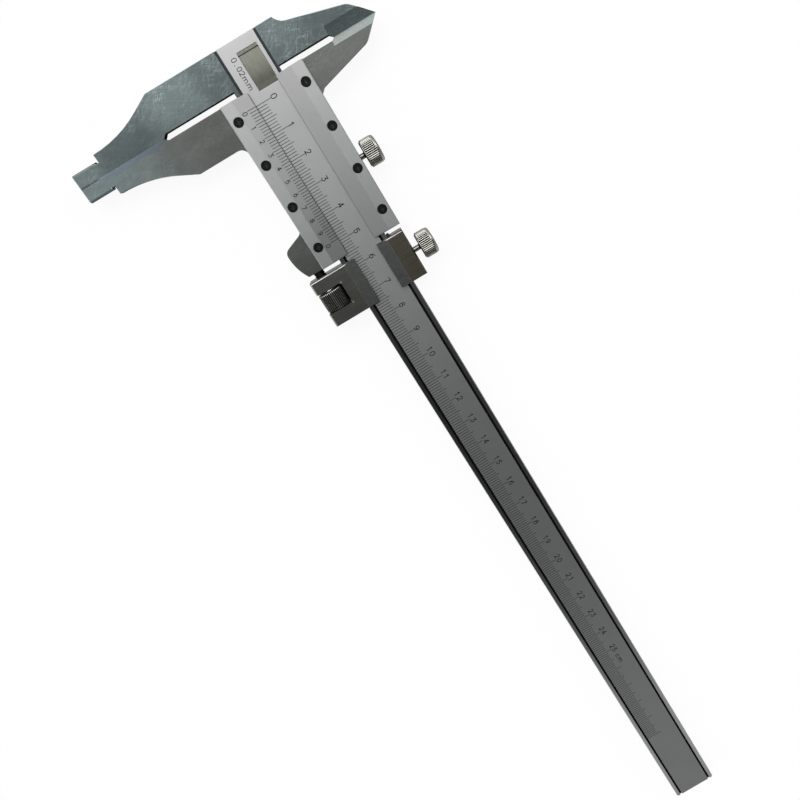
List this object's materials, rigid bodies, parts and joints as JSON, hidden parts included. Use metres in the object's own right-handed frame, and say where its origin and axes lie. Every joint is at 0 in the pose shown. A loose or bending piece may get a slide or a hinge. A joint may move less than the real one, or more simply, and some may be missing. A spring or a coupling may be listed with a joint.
{
  "type": "vernier caliper",
  "caption": "Vernier caliper with long nib jaws, short knife jaws, plain beam with engraved scale, screwed front plates and a fine-adjust carriage with knurled nut and lock screws.",
  "frame": {"origin": "on the back face of the slider, under the zero line of the main scale, on the beam's centre line", "axes": "+X along the beam from the jaws to its far end, +Y across the beam towards the lock screws, +Z out of the scale face"},
  "size_m": [0.3565, 0.1113, 0.01],
  "materials": {
    "beam_steel": "ground stainless steel with a matte chrome scale face",
    "jaw_steel": "fine ground stainless steel",
    "satin_chrome": "satin chromed steel",
    "black_steel": "black oxide steel",
    "spring_steel": "dark tempered spring steel",
    "knob_nickel": "bright nickel plate",
    "pin_steel": "ground steel",
    "nut_steel": "dark knurled steel",
    "carriage_steel": "dark ground steel"
  },
  "bodies": {
    "beam": {"main_beam": "beam_steel"},
    "slider": {"slider_body": "jaw_steel", "vernier_plate": "satin_chrome", "cover_plate": "satin_chrome", "vernier_plate_screw_1": "black_steel", "vernier_plate_screw_2": "black_steel", "vernier_plate_screw_3": "black_steel", "vernier_plate_screw_4": "black_steel", "cover_plate_screw_1": "black_steel", "cover_plate_screw_2": "black_steel", "cover_plate_screw_3": "black_steel", "cover_plate_screw_4": "black_steel", "adjusting_screw": "black_steel", "adjusting_screw_pin": "pin_steel"},
    "carriage": {"carriage": "carriage_steel"},
    "nut": {"adjusting_nut": "nut_steel"},
    "slider_gib": {"slider_gib": "spring_steel"},
    "slider_lock_screw": {"slider_lock_screw": "knob_nickel"},
    "carriage_gib": {"carriage_gib": "spring_steel"},
    "carriage_lock_screw": {"carriage_lock_screw": "knob_nickel"}
  },
  "joints": [
    {"name": "slider_travel", "type": "slide", "parent": "beam", "child": "slider", "axis": [1, 0, 0], "range_m": [0, 0.25]},
    {"name": "fine_adjust", "type": "slide", "parent": "slider", "child": "carriage", "axis": [1, 0, 0], "range_m": [-0.0018, 0.005]},
    {"name": "nut_turn", "type": "hinge", "parent": "carriage", "child": "nut", "pos_m": [0.0659, -0.0176, 0.0048], "axis": [1, 0, 0], "range_deg": [-927, 2573]},
    {"name": "slider_lock", "type": "slide", "parent": "slider", "child": "slider_gib", "axis": [0, 1, 0], "range_m": [0, 0.0003]},
    {"name": "slider_lock_turn", "type": "hinge", "parent": "slider_gib", "child": "slider_lock_screw", "pos_m": [0.0302, 0.0175, 0.00505], "axis": [0, 1, 0], "range_deg": [-1, 241]},
    {"name": "carriage_lock", "type": "slide", "parent": "carriage", "child": "carriage_gib", "axis": [0, 1, 0], "range_m": [0, 0.0003]},
    {"name": "carriage_lock_turn", "type": "hinge", "parent": "carriage_gib", "child": "carriage_lock_screw", "pos_m": [0.0659, 0.0177, 0.00505], "axis": [0, 1, 0], "range_deg": [-1, 241]}
  ],
  "couplings": [
    {"joint": "nut_turn", "follows": "fine_adjust", "rad_per_m": 8976},
    {"joint": "slider_lock_turn", "follows": "slider_lock", "rad_per_m": 13963},
    {"joint": "carriage_lock_turn", "follows": "carriage_lock", "rad_per_m": 13963}
  ]
}
